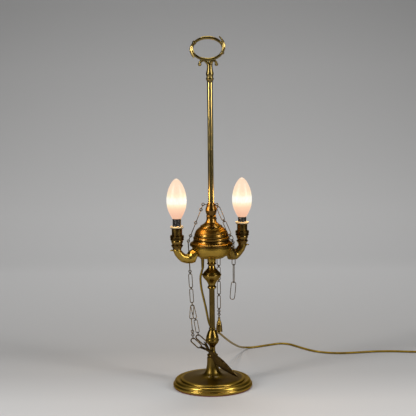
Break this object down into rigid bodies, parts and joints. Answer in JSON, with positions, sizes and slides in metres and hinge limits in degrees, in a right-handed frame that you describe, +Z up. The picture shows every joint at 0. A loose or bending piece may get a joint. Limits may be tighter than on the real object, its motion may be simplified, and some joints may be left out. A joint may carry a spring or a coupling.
{
  "type": "table lamp",
  "caption": "Electrified brass oil lamp: oil font with spouts and candle bulbs sliding on a rod with ring handle, on a round base; chains hold scissors and a snuffer.",
  "frame": {"origin": "centre of the underside of the base, on the table", "axes": "+Z up along the rod, +Y away from the viewer, +X to the right; the cord leaves to the back and right"},
  "size_m": [0.5802, 0.3843, 0.6199],
  "materials": {
    "aged_brass": "aged, satin",
    "dark_brass": "dark patina",
    "polished_brass": "polished",
    "bronze_wire": "dark, dull",
    "steel": "zinc plated",
    "nickel": "nickel plated",
    "bulb_glass": "frosted",
    "felt": "felt",
    "flex": "satin",
    "black_plastic": "moulded",
    "white_plastic": "moulded"
  },
  "bodies": {
    "stand": {"felt_pad": "felt", "base": "aged_brass", "base_washer": "steel", "base_nut": "steel", "tie_rod": "steel", "baluster": "dark_brass", "column": "dark_brass", "knob": "aged_brass", "rod": "polished_brass", "ring_handle": "aged_brass", "flex_drop": "flex", "flex_run": "flex", "flex_coil": "flex", "flex_tail": "flex", "plug_cover": "black_plastic", "plug_base": "black_plastic", "plug_pins": "polished_brass", "plug_screw": "steel"},
    "sleeve": {"sleeve": "aged_brass", "retaining_disc": "aged_brass", "sleeve_nut": "aged_brass", "strain_relief": "flex"},
    "font": {"bowl": "aged_brass", "cover": "aged_brass", "bell": "aged_brass", "chain_eyes": "bronze_wire", "spout_left": "aged_brass", "spout_right": "aged_brass", "inner_flex_left": "flex", "inner_flex_right": "flex", "terminal_block": "white_plastic", "cup_left": "dark_brass", "cup_right": "dark_brass", "holder_base_left": "dark_brass", "holder_base_right": "dark_brass", "insulator_left": "black_plastic", "insulator_right": "black_plastic", "barrel_left": "dark_brass", "barrel_right": "dark_brass"},
    "left_chain_top": {"chain_left_top": "bronze_wire"},
    "left_chain": {"chain_left_hang": "bronze_wire", "chain_left_strand": "bronze_wire"},
    "right_chain_top": {"chain_right_top": "bronze_wire"},
    "right_chain": {"chain_right_hang": "bronze_wire"},
    "back_chain_top": {"chain_back_top": "bronze_wire"},
    "back_chain": {"chain_back_hang": "bronze_wire"},
    "snuffer": {"snuffer": "dark_brass"},
    "scissor_back": {"scissor_back": "dark_brass", "scissor_screw": "dark_brass"},
    "scissor_front": {"scissor_front": "dark_brass"},
    "contacts_left": {"plungers_left": "steel"},
    "bulb_left": {"bulb_cap_left": "nickel", "bulb_glass_left": "bulb_glass"},
    "shade_ring_left": {"shade_ring_left": "dark_brass"},
    "contacts_right": {"plungers_right": "steel"},
    "bulb_right": {"bulb_cap_right": "nickel", "bulb_glass_right": "bulb_glass"},
    "shade_ring_right": {"shade_ring_right": "dark_brass"}
  },
  "joints": [
    {"name": "font_slide", "type": "slide", "parent": "stand", "child": "sleeve", "axis": [0, 0, 1], "range_m": [0, 0.08], "deforming": ["flex_drop"]},
    {"name": "font_turn", "type": "hinge", "parent": "sleeve", "child": "font", "pos_m": [0, 0, 0.236], "axis": [0, 0, 1], "range_deg": [-60, 60]},
    {"name": "left_chain_lift", "type": "hinge", "parent": "font", "child": "left_chain_top", "pos_m": [-0.01398, 0.00073, 0.3274], "axis": [-1, 0, 0], "range_deg": [0, 1]},
    {"name": "left_chain_swing", "type": "hinge", "parent": "left_chain_top", "child": "left_chain", "pos_m": [-0.04094, 0.00215, 0.2608], "axis": [-1, 0, 0], "range_deg": [0, 2]},
    {"name": "right_chain_lift", "type": "hinge", "parent": "font", "child": "right_chain_top", "pos_m": [0.01015, -0.00369, 0.3274], "axis": [-0.342, -0.9397, 0], "range_deg": [0, 30]},
    {"name": "right_chain_swing", "type": "hinge", "parent": "right_chain_top", "child": "right_chain", "pos_m": [0.03853, -0.01402, 0.2608], "axis": [-0.342, -0.9397, 0], "range_deg": [-7, 30]},
    {"name": "back_chain_lift", "type": "hinge", "parent": "font", "child": "back_chain_top", "pos_m": [0.00334, 0.01027, 0.3274], "axis": [0.9511, -0.309, 0], "range_deg": [0, 30]},
    {"name": "back_chain_swing", "type": "hinge", "parent": "back_chain_top", "child": "back_chain", "pos_m": [0.01267, 0.03899, 0.2608], "axis": [0.9511, -0.309, 0], "range_deg": [-5, 30]},
    {"name": "snuffer_swing", "type": "hinge", "parent": "back_chain", "child": "snuffer", "pos_m": [0.01267, 0.03899, 0.1197], "axis": [0.9511, -0.309, 0], "range_deg": [-20, 30]},
    {"name": "scissors_swing", "type": "hinge", "parent": "left_chain", "child": "scissor_back", "pos_m": [-0.02495, -0.0139, 0.09687], "axis": [0, -1, 0], "range_deg": [0, 20], "deforming": ["chain_left_strand"]},
    {"name": "scissors_open", "type": "hinge", "parent": "scissor_back", "child": "scissor_front", "pos_m": [-0.0024, -0.0148, 0.0642], "axis": [0, -1, 0], "range_deg": [0, 25]},
    {"name": "bulb_press_left", "type": "slide", "parent": "font", "child": "contacts_left", "axis": [0, 0, -1], "range_m": [0, 0.002], "stiffness_N_per_m": 1500, "springref_m": -0.001},
    {"name": "bulb_press_right", "type": "slide", "parent": "font", "child": "contacts_right", "axis": [0, 0, -1], "range_m": [0, 0.002], "stiffness_N_per_m": 1500, "springref_m": -0.001},
    {"name": "bulb_turn_left", "type": "hinge", "parent": "font", "child": "bulb_left", "pos_m": [-0.0598, -0.02416, 0.29], "axis": [0, 0, 1], "range_deg": [0, 20]},
    {"name": "shade_ring_turn_left", "type": "hinge", "parent": "font", "child": "shade_ring_left", "pos_m": [-0.0598, -0.02416, 0.272], "axis": [0, 0, 1], "continuous": true},
    {"name": "bulb_turn_right", "type": "hinge", "parent": "font", "child": "bulb_right", "pos_m": [0.05489, 0.02218, 0.29], "axis": [0, 0, 1], "range_deg": [0, 20]},
    {"name": "shade_ring_turn_right", "type": "hinge", "parent": "font", "child": "shade_ring_right", "pos_m": [0.05489, 0.02218, 0.272], "axis": [0, 0, 1], "continuous": true}
  ]
}
